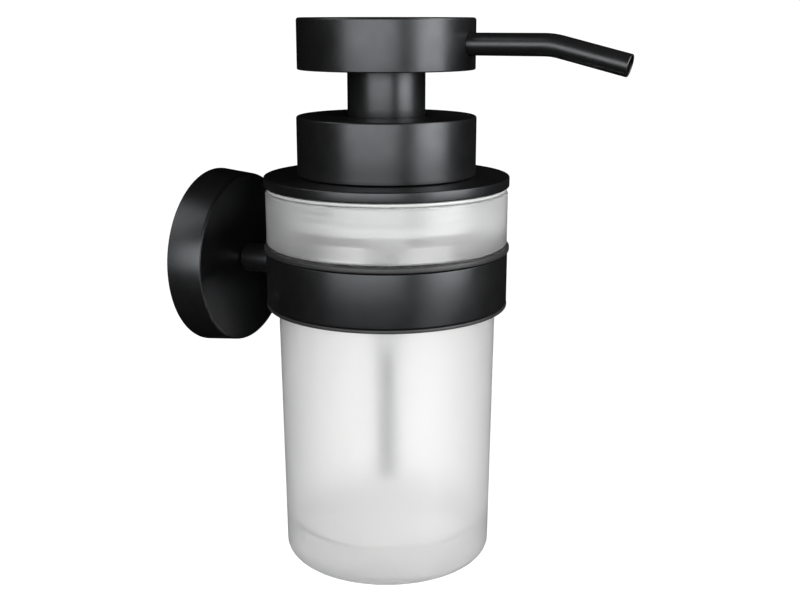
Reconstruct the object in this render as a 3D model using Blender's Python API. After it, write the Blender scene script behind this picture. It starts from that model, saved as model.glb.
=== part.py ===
"""Wall mounted soap dispenser: a frosted tumbler in a wall ring, with a press pump.

Metres, +Z up. The origin is the centre of the rosette's back face, on the wall.
The wall is the plane y = 0, and the dispenser stands out from it towards -Y.
Sizes and profiles are in millimetres, and finish_mesh scales each piece to metres.
A profile is a list of (radius, height) points, turned round the piece's own Z axis.
"""

import math

import bmesh
import bpy
from mathutils import Matrix, Vector

MM = 0.001
GAP = 0.3                      # clearance between pieces that touch or slide
SHARP_DEG = 32                 # edges sharper than this stay sharp in the shading

# Facets round a turned piece
WIDE = 40
MIDDLE = 24
NARROW = 16

# Where the tumbler's axis stands, and the levels of its stack
AXIS_Y = -60.0
RING_TOP_Z = 8.6
RING_BOTTOM_Z = -9.8
LID_TOP_Z = 28.8
COLLAR_TOP_Z = 46.0
HEAD_BOTTOM_Z = 59.1
HEAD_TOP_Z = 73.5
SPOUT_Z = 66.3
GLASS_BOTTOM_Z = -88.2

# Rosette, bracket and arm
ROSETTE_BACK_R = 27.5
ROSETTE_FRONT_R = 26.4
ROSETTE_DEPTH = 11.1
ROSETTE_WALL = 2.4
ROSETTE_EDGE = 0.9             # rounding of the front edge
ROSETTE_HOLE_R = 2.5
BRACKET_R = 23.6
BRACKET_RIM = 1.8
BRACKET_PLATE = 2.5
BRACKET_DEPTH = 7.0
BRACKET_SCREW_X = 13.0
BRACKET_HOLE_R = 2.4
BRACKET_SINK_R = 4.8           # the countersink, one millimetre past the plate
ARM_R = 4.5
GRUB_Y = -4.8
GRUB_R = 2.0
GRUB_LENGTH = 3.0
REAR_SCREW_R = 2.0
REAR_SCREW_LENGTH = 7.6
REAR_HEAD_R = 4.4
REAR_HEAD = 2.4
FRONT_SCREW_R = 1.5
FRONT_SCREW_LENGTH = 6.2
FRONT_HEAD_R = 2.8

# Ring
BAND_R = 35.8
BAND_BORE_R = 34.3
BUSH_BORE_R = 33.05
UPPER_LIP_R = 36.3
UPPER_LIP = 1.6
UPPER_BUSH = 5.8               # whole height of the upper bush
LOWER_LIP_R = 35.9
LOWER_LIP = 1.0
LOWER_BUSH = 5.2

# Tumbler
GLASS_FOOT_R = 31.6
GLASS_WAIST_R = 32.65
GLASS_SHOULDER_R = 35.6
GLASS_SHOULDER_EDGE = 0.9
GLASS_MOUTH_R = 32.2
GLASS_WALL = 3.2
GLASS_RIM_EDGE = 0.5
GLASS_FLOOR_Z = -79.7
GLASS_FLOOR_R = 28.4
GLASS_FLOOR_EDGE = 5.0
GLASS_FOOT_EDGE = 4.2
GLASS_STAND_R = 25.6           # ring that the tumbler stands on
GLASS_KICK = 0.8               # hollow inside that ring

# Lid and collar
LID_R = 36.0
LID_THICK = 2.9
PLUG_BRIM = 0.85
PLUG_BRIM_R = 35.2
PLUG_WEB = 2.6
PLUG_SKIRT = 2.0
PLUG_BOTTOM_Z = 15.2
PLUG_CORE_R = 30.6
PLUG_RIB_R = 31.85
PLUG_RIB_PITCH = 2.15
NUT_R = 14.5
NUT_NECK_R = 10.5
NUT_SHOULDER_R = 12.5
NUT_RIM = 1.5
NUT_HEIGHT = 6.0
COLLAR_R = 26.1
COLLAR_WALL = 1.3
COLLAR_EDGE = 0.8
SHELL_TOP = 1.5                # thickness of the collar's and the head's top
NECK_CLEARANCE = 0.35
INSERT_WALL = 1.6
INSERT_WEB = 2.0
INSERT_HEIGHT = 12.0
BARREL_HOLE_R = 7.95

# Pump
BARREL_R = 7.6
BARREL_BORE_R = 6.2
BARREL_END_Z = -9.0
HOUSING_FLANGE_R = 9.2
HOUSING_FLANGE = 1.5
GASKET = 1.0
CAP_PLUG = 2.5
TAIL_R = 4.25
TAIL_START_Z = -14.0
TAIL_END_Z = -23.3
TUBE_SOCKET_Z = -14.2
STEM_R = 4.0
STEM_BORE_R = 1.6
STEM_WAIST_R = 2.8
STEM_TOP_Z = 56.0
BALL_R = 2.4
BALL_Z = -10.36                # resting in its conical seat
BALL_CHAMBER_R = 3.1
BALL_THROAT_R = 2.2
BALL_SEAT_R = 1.9
OUTLET_BALL_R = 2.0
OUTLET_BALL_Z = 57.55
SPRING_LEDGE_Z = -4.0
SPRING_LEDGE_R = 4.4
SPRING_WIRE_R = 0.5
SPRING_COIL_R = 5.2
SPRING_TURNS = 8.5
SPRING_CLOSED = 0.75           # turns that lie flat at each end
SPRING_END_LIFT = 0.55         # how far each closed end climbs
PISTON_Z = 25.2                # the piston seal's lower face
PISTON_LENGTH = 6.4
DIP_TUBE_R = 2.75
DIP_TUBE_WALL = 0.75
DIP_TUBE_TOP_Z = -14.5
DIP_TUBE_END_Z = -64.5
STROKE = 12.0

# Head
HEAD_R = 25.6
HEAD_WALL = 1.3
HEAD_EDGE = 0.9
BASE_THICK = 1.6
SLEEVE_R = 11.27
SLEEVE_BORE_R = 9.9
SLEEVE_IN_HEAD = 3.6
CORE_SOCKET_Z = 50.0
CORE_FLANGE = 2.0
CORE_BLOCK_R = 13.0
VALVE_R = 2.6
VALVE_TOP_Z = 60.7
RISER_R = 1.2
RISER_TOP_Z = 63.8
SPOUT_R = 3.1
SPOUT_BORE_R = 2.5
SPOUT_START = 4.0
SPOUT_KNEE = 49.2
SPOUT_TIP = 70.2
SPOUT_DROP_DEG = 13.9
SPOUT_BEND_R = 20.0
SPOUT_BEND_STEPS = 5


# ---------------------------------------------------------------- materials

def material(name, colour, roughness, metallic=0.0, transmission=0.0):
    """A Principled material."""
    made = bpy.data.materials.new(name)
    made.use_nodes = True
    shader = made.node_tree.nodes["Principled BSDF"]
    shader.inputs["Base Color"].default_value = (*colour, 1.0)
    shader.inputs["Roughness"].default_value = roughness
    shader.inputs["Metallic"].default_value = metallic
    shader.inputs["Transmission Weight"].default_value = transmission
    made.diffuse_color = (*colour, 1.0)
    return made


def black_metal(name):
    return material(name, (0.012, 0.012, 0.013), 0.42, metallic=0.6)


def steel(name):
    return material(name, (0.55, 0.55, 0.56), 0.32, metallic=1.0)


def black_plastic(name):
    return material(name, (0.02, 0.02, 0.022), 0.5)


def white_plastic(name):
    return material(name, (0.78, 0.79, 0.78), 0.45)


def frosted_glass(name):
    return material(name, (0.86, 0.89, 0.88), 0.5, transmission=0.85)


def rubber(name):
    return material(name, (0.03, 0.03, 0.03), 0.8)


# ---------------------------------------------------------------- shapes

def arc(centre_r, centre_z, radius, start_deg, end_deg, steps):
    """Points of a circular arc in a profile, both ends included."""
    points = []
    for i in range(steps + 1):
        angle = math.radians(start_deg + (end_deg - start_deg) * i / steps)
        points.append((centre_r + radius * math.cos(angle), centre_z + radius * math.sin(angle)))
    return points


def finish_mesh(bm, name, surface, place=None):
    """Turns a bmesh in millimetres into a smooth shaded object, placed by a matrix."""
    bmesh.ops.remove_doubles(bm, verts=bm.verts, dist=1e-4)
    bmesh.ops.recalc_face_normals(bm, faces=bm.faces)
    bmesh.ops.scale(bm, vec=(MM, MM, MM), verts=bm.verts)
    mesh = bpy.data.meshes.new(name)
    bm.to_mesh(mesh)
    bm.free()
    mesh.materials.append(surface)
    mesh.shade_smooth()
    mesh.set_sharp_from_angle(angle=math.radians(SHARP_DEG))
    made = bpy.data.objects.new(name, mesh)
    bpy.context.scene.collection.objects.link(made)
    if place is not None:
        made.matrix_world = place
    return made


def at(x, y, z, turn=None):
    """A placing matrix for a point in millimetres, with an optional rotation."""
    place = Matrix.Translation(Vector((x, y, z)) * MM)
    return place @ turn if turn is not None else place


def stack(z=0.0):
    """Places a piece on the tumbler's axis."""
    return at(0, AXIS_Y, z)


TO_MINUS_Y = Matrix.Rotation(math.radians(90), 4, "X")     # a piece's +Z points away from the wall
TO_PLUS_Y = Matrix.Rotation(math.radians(-90), 4, "X")     # a piece's +Z points to the wall
UPSIDE_DOWN = Matrix.Rotation(math.pi, 4, "X")


def turned(name, profile, sides, surface, place=None):
    """A profile spun round Z; one that is open starts and ends on the axis."""
    bm = bmesh.new()
    verts = [bm.verts.new((r, 0.0, z)) for r, z in profile]
    edges = [bm.edges.new(pair) for pair in zip(verts, verts[1:])]
    if profile[0][0] > 0:
        edges.append(bm.edges.new((verts[-1], verts[0])))
    bmesh.ops.spin(bm, geom=verts + edges, cent=(0, 0, 0), axis=(0, 0, 1),
                   angle=math.tau, steps=sides, use_merge=True)
    return finish_mesh(bm, name, surface, place)


def ring_profile(inner, outer, low, high):
    return [(inner, low), (outer, low), (outer, high), (inner, high)]


def rod_profile(radius, low, high):
    return [(0, low), (radius, low), (radius, high), (0, high)]


def cutter(name, profile, sides, place):
    """A hidden solid that a Boolean takes away."""
    made = turned(name, profile, sides, bpy.data.materials["cutter"], place)
    made.hide_render = True
    made.display_type = "WIRE"
    return made


def cut(piece, tool):
    change = piece.modifiers.new("cut_" + tool.name, "BOOLEAN")
    change.operation = "DIFFERENCE"
    change.solver = "EXACT"
    change.object = tool


def ring_of_verts(bm, centre, radius, side, up, sides):
    angles = [math.tau * k / sides for k in range(sides)]
    return [bm.verts.new(centre + radius * (math.cos(a) * side + math.sin(a) * up)) for a in angles]


def join_rings(bm, first, second):
    count = len(first)
    for k in range(count):
        j = (k + 1) % count
        bm.faces.new((first[k], first[j], second[j], second[k]))


def swept(name, route, radii, sides, surface, across):
    """A bar along route points, or a tube if radii has a bore. across(point) is a sideways direction."""
    bm = bmesh.new()
    walls = [[] for _ in radii]
    for i, point in enumerate(route):
        before = route[max(i - 1, 0)]
        after = route[min(i + 1, len(route) - 1)]
        forward = (after - before).normalized()
        side = across(point).normalized()
        up = side.cross(forward).normalized()
        for rings, radius in zip(walls, radii):
            rings.append(ring_of_verts(bm, point, radius, side, up, sides))
    for rings in walls:
        for near, far in zip(rings, rings[1:]):
            join_rings(bm, near, far)
    for end in (0, -1):
        if len(walls) == 1:
            bm.faces.new(walls[0][end])
        else:
            join_rings(bm, walls[0][end], walls[1][end])
    return finish_mesh(bm, name, surface)


# ---------------------------------------------------------------- wall side

def make_rosette_cover():
    """The round cap on the wall, with holes for the arm's screw and the grub screw."""
    front_inside = ROSETTE_DEPTH - ROSETTE_WALL
    profile = [(ROSETTE_BACK_R - ROSETTE_WALL, 0), (ROSETTE_BACK_R, 0), (ROSETTE_BACK_R, 0.6)]
    profile += arc(ROSETTE_FRONT_R - ROSETTE_EDGE, ROSETTE_DEPTH - ROSETTE_EDGE, ROSETTE_EDGE, 5, 90, 3)
    profile += [(ROSETTE_HOLE_R, ROSETTE_DEPTH), (ROSETTE_HOLE_R, front_inside)]
    profile += [(ROSETTE_FRONT_R - ROSETTE_WALL, front_inside)]
    cover = turned("rosette_cover", profile, WIDE, black_metal("rosette_black"), at(0, 0, 0, TO_MINUS_Y))
    cut(cover, cutter("grub_hole", rod_profile(GRUB_R + GAP, -32, -20), NARROW, at(0, GRUB_Y, 0)))
    return cover


def make_wall_bracket():
    """The plate that is screwed to the wall, with a rim that the grub screw bears on."""
    inside = BRACKET_R - BRACKET_RIM
    profile = [(0, 0), (BRACKET_R, 0), (BRACKET_R, BRACKET_DEPTH), (inside, BRACKET_DEPTH)]
    profile += [(inside, BRACKET_PLATE), (0, BRACKET_PLATE)]
    bracket = turned("wall_bracket", profile, MIDDLE, steel("bracket_steel"), at(0, 0, 0, TO_MINUS_Y))
    hole = [(0, -1), (BRACKET_HOLE_R, -1), (BRACKET_HOLE_R, 1.0), (BRACKET_SINK_R, 3.4), (0, 3.4)]
    for side in (-1, 1):
        tool = cutter("wall_screw_hole", hole, NARROW, at(side * BRACKET_SCREW_X, 0, 0, TO_MINUS_Y))
        cut(bracket, tool)
    return bracket


def make_grub_screw():
    """A headless screw with a socket, in the rosette's lower side."""
    socket_r = 1.1
    profile = [(0, 0), (GRUB_R - 0.4, 0), (GRUB_R, 0.4), (GRUB_R, GRUB_LENGTH)]
    profile += [(socket_r, GRUB_LENGTH), (socket_r, 1.2), (0, 1.2)]
    top_z = -(BRACKET_R + GAP)
    place = at(0, GRUB_Y, top_z, UPSIDE_DOWN)
    return turned("rosette_grub_screw", profile, NARROW, steel("grub_steel"), place)


def make_arm_rod():
    """The short arm, with a screw hole in each end and a hollow end face that fits the ring."""
    start = ROSETTE_DEPTH + GAP
    front = -AXIS_Y - BAND_R
    place = at(0, 0, 0, TO_MINUS_Y)
    rod = turned("arm_rod", rod_profile(ARM_R, start, front + 4.0), MIDDLE, black_metal("arm_black"), place)
    cut(rod, cutter("ring_seat", rod_profile(BAND_R + GAP, -12, 12), WIDE * 2, stack()))
    rear_hole = rod_profile(REAR_SCREW_R + 0.4, 6.0, start + 6.3)
    cut(rod, cutter("rear_screw_hole", rear_hole, NARROW, place))
    front_hole = rod_profile(FRONT_SCREW_R + GAP, front - 5.0, front + 6.0)
    cut(rod, cutter("front_screw_hole", front_hole, NARROW, place))
    return rod


def make_arm_rear_screw():
    """Button head screw from inside the rosette into the arm."""
    head_seat = ROSETTE_DEPTH - ROSETTE_WALL - GAP
    socket_r = 1.5
    profile = [(0, -REAR_SCREW_LENGTH), (REAR_SCREW_R - 0.3, -REAR_SCREW_LENGTH)]
    profile += [(REAR_SCREW_R, 0.5 - REAR_SCREW_LENGTH), (REAR_SCREW_R, 0)]
    profile += [(REAR_HEAD_R, 0), (REAR_HEAD_R, REAR_HEAD * 0.6), (REAR_HEAD_R - 0.5, REAR_HEAD)]
    profile += [(socket_r, REAR_HEAD), (socket_r, 1.0), (0, 1.0)]
    place = at(0, -head_seat, 0, TO_PLUS_Y)
    return turned("arm_rear_screw", profile, NARROW, steel("rear_screw_steel"), place)


def make_arm_front_screw():
    """Countersunk screw from inside the ring band into the arm."""
    head_face = AXIS_Y + BAND_BORE_R - 0.05
    end = -FRONT_SCREW_LENGTH
    socket_r = 1.0
    profile = [(0, end), (FRONT_SCREW_R - 0.3, end), (FRONT_SCREW_R, end + 0.4)]
    profile += [(FRONT_SCREW_R, FRONT_SCREW_R - FRONT_HEAD_R), (FRONT_HEAD_R, 0)]
    profile += [(socket_r, 0), (socket_r, -0.7), (0, -0.7)]
    place = at(0, head_face, 0, TO_MINUS_Y)
    return turned("arm_front_screw", profile, NARROW, steel("front_screw_steel"), place)


# ---------------------------------------------------------------- ring

def make_ring_band():
    """The band between the two bushes, with a countersunk hole for the arm's screw."""
    low = RING_BOTTOM_Z + LOWER_LIP + GAP
    high = RING_TOP_Z - UPPER_LIP - GAP
    band = turned("ring_band", ring_profile(BAND_BORE_R, BAND_R, low, high), WIDE,
                  black_metal("band_black"), stack())
    inside = -AXIS_Y - BAND_BORE_R
    hole_r = FRONT_SCREW_R + GAP
    hole = [(0, inside - 3), (hole_r, inside - 3), (hole_r, inside - 1.5)]
    hole += [(5.5, inside + 2.2), (0, inside + 2.2)]
    cut(band, cutter("band_screw_hole", hole, NARROW, at(0, 0, 0, TO_MINUS_Y)))
    return band


def make_upper_bush():
    """Flanged plastic bush, pushed into the band from above, that the tumbler's shoulder rests on."""
    sleeve_r = BAND_BORE_R - GAP
    top = RING_TOP_Z
    lip = top - UPPER_LIP
    low = top - UPPER_BUSH
    profile = [(BUSH_BORE_R, low), (sleeve_r, low), (sleeve_r, lip), (UPPER_LIP_R, lip)]
    profile += [(UPPER_LIP_R, top - 0.4), (UPPER_LIP_R - 0.4, top), (BUSH_BORE_R, top)]
    return turned("ring_upper_bush", profile, WIDE, black_plastic("upper_bush_black"), stack())


def make_lower_bush():
    """Flanged plastic bush, pushed into the band from below, that keeps the tumbler upright."""
    sleeve_r = BAND_BORE_R - GAP
    low = RING_BOTTOM_Z
    lip = low + LOWER_LIP
    profile = [(BUSH_BORE_R, low), (LOWER_LIP_R - 0.3, low), (LOWER_LIP_R, low + 0.3), (LOWER_LIP_R, lip)]
    profile += [(sleeve_r, lip), (sleeve_r, low + LOWER_BUSH), (BUSH_BORE_R, low + LOWER_BUSH)]
    return turned("ring_lower_bush", profile, WIDE, black_plastic("lower_bush_black"), stack())


# ---------------------------------------------------------------- tumbler

def plug_top_z():
    """The plug's upper face, under the lid disc."""
    return LID_TOP_Z - LID_THICK - GAP


def make_glass_tumbler():
    """A thick based tumbler whose wider top rests on the ring."""
    rim_z = plug_top_z() - PLUG_BRIM - GAP
    seat_z = RING_TOP_Z + GAP
    low = GLASS_BOTTOM_Z
    profile = [(0, low + GLASS_KICK), (GLASS_STAND_R - 1.6, low + GLASS_KICK), (GLASS_STAND_R, low)]
    edge = GLASS_FOOT_EDGE
    profile += arc(GLASS_FOOT_R - edge, low + edge, edge, -85, 0, 4)
    profile += [(GLASS_WAIST_R, seat_z)]
    edge = GLASS_SHOULDER_EDGE
    profile += arc(GLASS_SHOULDER_R - edge, seat_z + edge, edge, -90, 0, 2)
    profile += [(GLASS_SHOULDER_R, rim_z - GLASS_RIM_EDGE), (GLASS_SHOULDER_R - GLASS_RIM_EDGE, rim_z)]
    profile += [(GLASS_MOUTH_R + 0.3, rim_z), (GLASS_MOUTH_R, rim_z - GLASS_RIM_EDGE)]
    profile += [(GLASS_MOUTH_R, seat_z + 4.0), (GLASS_WAIST_R - GLASS_WALL, seat_z + 0.5)]
    edge = GLASS_FLOOR_EDGE
    profile += arc(GLASS_FLOOR_R - edge, GLASS_FLOOR_Z + edge, edge, 0, -90, 3)
    profile += [(0, GLASS_FLOOR_Z)]
    return turned("glass_tumbler", profile, WIDE, frosted_glass("frosted_glass"), stack())


# ---------------------------------------------------------------- lid

def make_lid_plug():
    """The pale plug with three sealing ribs, and a thin brim on the tumbler's rim."""
    top = plug_top_z()
    web = top - PLUG_WEB
    inside = PLUG_CORE_R - PLUG_SKIRT
    profile = [(BARREL_HOLE_R, top), (BARREL_HOLE_R, web), (inside, web), (inside, PLUG_BOTTOM_Z)]
    profile += [(PLUG_CORE_R - 0.4, PLUG_BOTTOM_Z)]
    for k in (2, 1, 0):
        middle = web - PLUG_RIB_PITCH * k
        profile += [(PLUG_CORE_R, middle - 0.6), (PLUG_RIB_R, middle - 0.25)]
        profile += [(PLUG_RIB_R, middle + 0.25), (PLUG_CORE_R, middle + 0.6)]
    profile += [(PLUG_CORE_R, top - PLUG_BRIM), (PLUG_BRIM_R, top - PLUG_BRIM), (PLUG_BRIM_R, top)]
    return turned("lid_plug", profile, WIDE, white_plastic("plug_white"), stack())


def make_lid_flange():
    """The flat metal disc that covers the tumbler."""
    top = LID_TOP_Z
    low = top - LID_THICK
    profile = [(BARREL_HOLE_R, low), (LID_R - 0.25, low), (LID_R, low + 0.25), (LID_R, top - 0.4)]
    profile += [(LID_R - 0.4, top), (BARREL_HOLE_R, top)]
    return turned("lid_flange", profile, WIDE, black_metal("flange_black"), stack())


def make_lid_nut():
    """Plastic nut on the pump's barrel, under the plug."""
    top = plug_top_z() - PLUG_WEB - GAP
    low = top - NUT_HEIGHT
    rim = top - NUT_RIM
    profile = [(BARREL_HOLE_R, low), (NUT_NECK_R, low), (NUT_SHOULDER_R, rim), (NUT_R, rim)]
    profile += [(NUT_R, top), (BARREL_HOLE_R, top)]
    return turned("lid_nut", profile, 12, white_plastic("nut_white"), stack())


def make_collar_insert():
    """Plastic holder that the metal collar is pressed over."""
    low = LID_TOP_Z + GAP
    high = low + INSERT_HEIGHT
    web = low + INSERT_WEB
    outer = COLLAR_R - COLLAR_WALL - 0.4
    inside = outer - INSERT_WALL
    profile = [(BARREL_HOLE_R, low), (outer, low), (outer, high), (inside, high), (inside, web)]
    profile += [(BARREL_HOLE_R, web)]
    return turned("collar_insert", profile, MIDDLE, black_plastic("insert_black"), stack())


def make_collar_shell():
    """The low metal drum on the lid, open below, with a round hole for the neck."""
    low = LID_TOP_Z + GAP
    top = COLLAR_TOP_Z
    bore = COLLAR_R - COLLAR_WALL
    neck = SLEEVE_R + NECK_CLEARANCE
    profile = [(bore, low), (COLLAR_R, low)]
    profile += arc(COLLAR_R - COLLAR_EDGE, top - COLLAR_EDGE, COLLAR_EDGE, 0, 90, 3)
    profile += [(neck, top), (neck, top - SHELL_TOP), (bore, top - SHELL_TOP)]
    return turned("collar_shell", profile, WIDE, black_metal("collar_black"), stack())


# ---------------------------------------------------------------- pump

def gasket_z():
    """The gasket's lower face, on the collar insert's web."""
    return LID_TOP_Z + GAP + INSERT_WEB + GAP


def housing_flange_z():
    """The underside of the pump housing's flange."""
    return gasket_z() + GASKET + GAP


def make_housing_gasket():
    low = gasket_z()
    profile = ring_profile(BARREL_HOLE_R, HOUSING_FLANGE_R, low, low + GASKET)
    return turned("housing_gasket", profile, MIDDLE, rubber("gasket_rubber"), stack())


def make_pump_housing():
    """The pump's cylinder, with a valve seat, a snap-in throat for the ball and a tail for the tube."""
    flange = housing_flange_z()
    top = flange + HOUSING_FLANGE
    ledge = SPRING_LEDGE_Z
    socket_r = DIP_TUBE_R + GAP
    profile = [(TAIL_R, TAIL_END_Z), (TAIL_R, TAIL_START_Z), (BARREL_R, BARREL_END_Z), (BARREL_R, flange)]
    profile += [(HOUSING_FLANGE_R, flange), (HOUSING_FLANGE_R, top)]
    profile += [(BARREL_BORE_R, top), (BARREL_BORE_R, ledge)]
    profile += [(SPRING_LEDGE_R, ledge), (SPRING_LEDGE_R, ledge - 1.4)]
    profile += [(BALL_THROAT_R, ledge - 3.0), (BALL_THROAT_R, ledge - 3.4), (BALL_CHAMBER_R, ledge - 4.2)]
    profile += [(BALL_CHAMBER_R, -10.2), (BALL_SEAT_R, -12.6), (BALL_SEAT_R, TUBE_SOCKET_Z)]
    profile += [(socket_r, TUBE_SOCKET_Z), (socket_r, TAIL_END_Z)]
    return turned("pump_housing", profile, MIDDLE, white_plastic("housing_white"), stack())


def make_housing_cap():
    """The cap on the housing that guides the stem."""
    low = housing_flange_z() + HOUSING_FLANGE + GAP
    high = low + HOUSING_FLANGE
    bore = STEM_R + GAP
    plug_r = BARREL_BORE_R - GAP
    profile = [(bore, low - CAP_PLUG), (plug_r, low - CAP_PLUG), (plug_r, low), (HOUSING_FLANGE_R, low)]
    profile += [(HOUSING_FLANGE_R, high), (bore, high)]
    return turned("housing_cap", profile, MIDDLE, white_plastic("cap_white"), stack())


def make_ball(name, radius, centre_z):
    """A valve ball, turned from a half circle."""
    profile = arc(0, 0, radius, -90, 90, 8)
    profile[0] = (0, -radius)
    profile[-1] = (0, radius)
    return turned(name, profile, NARROW, steel(name + "_steel"), stack(centre_z))


def make_dip_tube():
    """The straight tube from the pump's tail to just above the floor of the glass."""
    profile = ring_profile(DIP_TUBE_R - DIP_TUBE_WALL, DIP_TUBE_R, DIP_TUBE_END_Z, DIP_TUBE_TOP_Z)
    return turned("dip_tube", profile, NARROW, white_plastic("tube_grey"), stack())


def spring_height(turn, low, high):
    """The wire's centre height after so many turns: each end climbs slowly, and the middle evenly."""
    ends = min(turn, SPRING_CLOSED) + max(turn - SPRING_TURNS + SPRING_CLOSED, 0.0)
    share = (turn - SPRING_CLOSED) / (SPRING_TURNS - 2 * SPRING_CLOSED)
    middle = min(max(share, 0.0), 1.0) * (high - low - 2 * SPRING_END_LIFT)
    return low + SPRING_END_LIFT * ends / SPRING_CLOSED + middle


def make_return_spring():
    """A compression spring between the housing's ledge and the piston."""
    low = SPRING_LEDGE_Z + GAP + SPRING_WIRE_R
    high = PISTON_Z - GAP - SPRING_WIRE_R
    per_turn = 10
    route = []
    for i in range(int(SPRING_TURNS * per_turn) + 1):
        turn = i / per_turn
        angle = math.tau * turn
        route.append(Vector((SPRING_COIL_R * math.cos(angle), AXIS_Y + SPRING_COIL_R * math.sin(angle),
                             spring_height(turn, low, high))))

    def outward(point):
        return Vector((point.x, point.y - AXIS_Y, 0))

    return swept("return_spring", route, [SPRING_WIRE_R], 5, steel("spring_steel"), outward)


def make_piston_seal():
    """The cup that slides in the pump's bore."""
    low = PISTON_Z
    high = low + PISTON_LENGTH
    outer = BARREL_BORE_R - 0.1
    middle = outer - 0.5
    bore = STEM_R - 0.9
    profile = [(bore, low + 1.2), (STEM_R + 0.2, low), (middle, low), (outer, low + 0.3)]
    profile += [(outer, low + 1.2), (middle, low + 2.2), (middle, high - 2.0), (outer, high - 1.0), (outer, high)]
    profile += [(STEM_R + 0.9, high - 1.4), (STEM_R + GAP, high - 2.4), (bore, high - 2.4)]
    return turned("piston_seal", profile, MIDDLE, white_plastic("seal_white"), stack())


def make_piston_stem():
    """The hollow rod from the piston to the head, with a waist that the seal sits on."""
    waist = STEM_WAIST_R
    foot = waist + 0.8
    low = PISTON_Z - 1.5
    shoulder = PISTON_Z + 4.3
    profile = [(STEM_BORE_R, low), (foot - 0.3, low), (foot, low + 0.4), (foot, low + 1.1)]
    profile += [(waist, low + 1.3), (waist, shoulder), (STEM_R, shoulder + 0.3)]
    profile += [(STEM_R, STEM_TOP_Z - 0.5), (STEM_R - 0.5, STEM_TOP_Z), (STEM_BORE_R, STEM_TOP_Z)]
    return turned("piston_stem", profile, NARROW, white_plastic("stem_white"), stack())


# ---------------------------------------------------------------- head

def sleeve_top_z():
    return HEAD_BOTTOM_Z + SLEEVE_IN_HEAD


def make_stem_sleeve():
    """The thick metal neck, which slides into the collar with the head."""
    low = LID_TOP_Z + GAP + INSERT_WEB + GAP + STROKE
    profile = ring_profile(SLEEVE_BORE_R, SLEEVE_R, low, sleeve_top_z())
    return turned("stem_sleeve", profile, MIDDLE, black_metal("sleeve_black"), stack())


def make_head_base():
    """The plate that closes the head from below."""
    low = HEAD_BOTTOM_Z + GAP
    profile = ring_profile(SLEEVE_R + GAP, HEAD_R - HEAD_WALL - 0.4, low, low + BASE_THICK)
    return turned("head_base", profile, MIDDLE, black_plastic("base_black"), stack())


def make_head_shell():
    """The press head's metal shell, with a hole for the spout."""
    bore = HEAD_R - HEAD_WALL
    top = HEAD_TOP_Z
    profile = [(0, top - SHELL_TOP), (bore, top - SHELL_TOP), (bore, HEAD_BOTTOM_Z)]
    profile += [(HEAD_R - 0.3, HEAD_BOTTOM_Z), (HEAD_R, HEAD_BOTTOM_Z + 0.3)]
    profile += arc(HEAD_R - HEAD_EDGE, top - HEAD_EDGE, HEAD_EDGE, 0, 90, 3)
    profile += [(0, top)]
    shell = turned("head_shell", profile, WIDE, black_metal("head_black"), stack())
    cut(shell, cutter("spout_hole", rod_profile(SPOUT_R + 0.2, 15, 40), MIDDLE,
                      at(0, AXIS_Y, SPOUT_Z, TO_MINUS_Y)))
    return shell


def make_actuator_core():
    """The plastic core: a socket for the stem, the outlet valve's chamber and the way to the spout."""
    top = HEAD_TOP_Z - SHELL_TOP - GAP
    flange = sleeve_top_z() + GAP
    flange_r = HEAD_R - HEAD_WALL - 0.6
    hub = SLEEVE_BORE_R - GAP
    socket_r = STEM_R + GAP
    socket_z = STEM_TOP_Z + GAP
    profile = [(0, RISER_TOP_Z), (RISER_R, RISER_TOP_Z), (RISER_R, VALVE_TOP_Z), (VALVE_R, VALVE_TOP_Z)]
    profile += [(VALVE_R, socket_z), (socket_r, socket_z), (socket_r, CORE_SOCKET_Z), (hub, CORE_SOCKET_Z)]
    profile += [(hub, flange), (flange_r, flange), (flange_r, flange + CORE_FLANGE)]
    profile += [(CORE_BLOCK_R, flange + CORE_FLANGE), (CORE_BLOCK_R, top), (0, top)]
    core = turned("actuator_core", profile, MIDDLE, black_plastic("core_black"), stack())
    cut(core, cutter("spout_bore", rod_profile(SPOUT_R + GAP, -1.5, 30), MIDDLE,
                     at(0, AXIS_Y, SPOUT_Z, TO_MINUS_Y)))
    return core


def spout_route():
    """The spout's centre line: straight out, one bend, then straight down to the tip."""
    drop = math.radians(SPOUT_DROP_DEG)
    bend_start = SPOUT_KNEE - SPOUT_BEND_R * math.tan(drop / 2)
    points = [(SPOUT_START, SPOUT_Z), (bend_start, SPOUT_Z)]
    for i in range(1, SPOUT_BEND_STEPS + 1):
        angle = drop * i / SPOUT_BEND_STEPS
        out = bend_start + SPOUT_BEND_R * math.sin(angle)
        points.append((out, SPOUT_Z - SPOUT_BEND_R * (1 - math.cos(angle))))
    bend_end, bend_z = points[-1]
    points.append((SPOUT_TIP, bend_z - (SPOUT_TIP - bend_end) * math.tan(drop)))
    return [Vector((0, AXIS_Y - out, z)) for out, z in points]


def make_spout_tube():
    """The thin metal spout."""

    def sideways(point):
        return Vector((1, 0, 0))

    surface = black_metal("spout_black")
    return swept("spout_tube", spout_route(), [SPOUT_R, SPOUT_BORE_R], NARROW, surface, sideways)


# ---------------------------------------------------------------- assembly

def clear_scene():
    for old in list(bpy.data.objects):
        bpy.data.objects.remove(old, do_unlink=True)


def make_joint_empty(name, z, pieces):
    """An empty on the tumbler's axis, which the moving pieces of one joint hang from."""
    empty = bpy.data.objects.new(name, None)
    bpy.context.scene.collection.objects.link(empty)
    empty.location = Vector((0, AXIS_Y, z)) * MM
    bpy.context.view_layer.update()
    for piece in pieces:
        place = piece.matrix_world.copy()
        piece.parent = empty
        piece.matrix_parent_inverse = empty.matrix_world.inverted()
        piece.matrix_world = place


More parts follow.
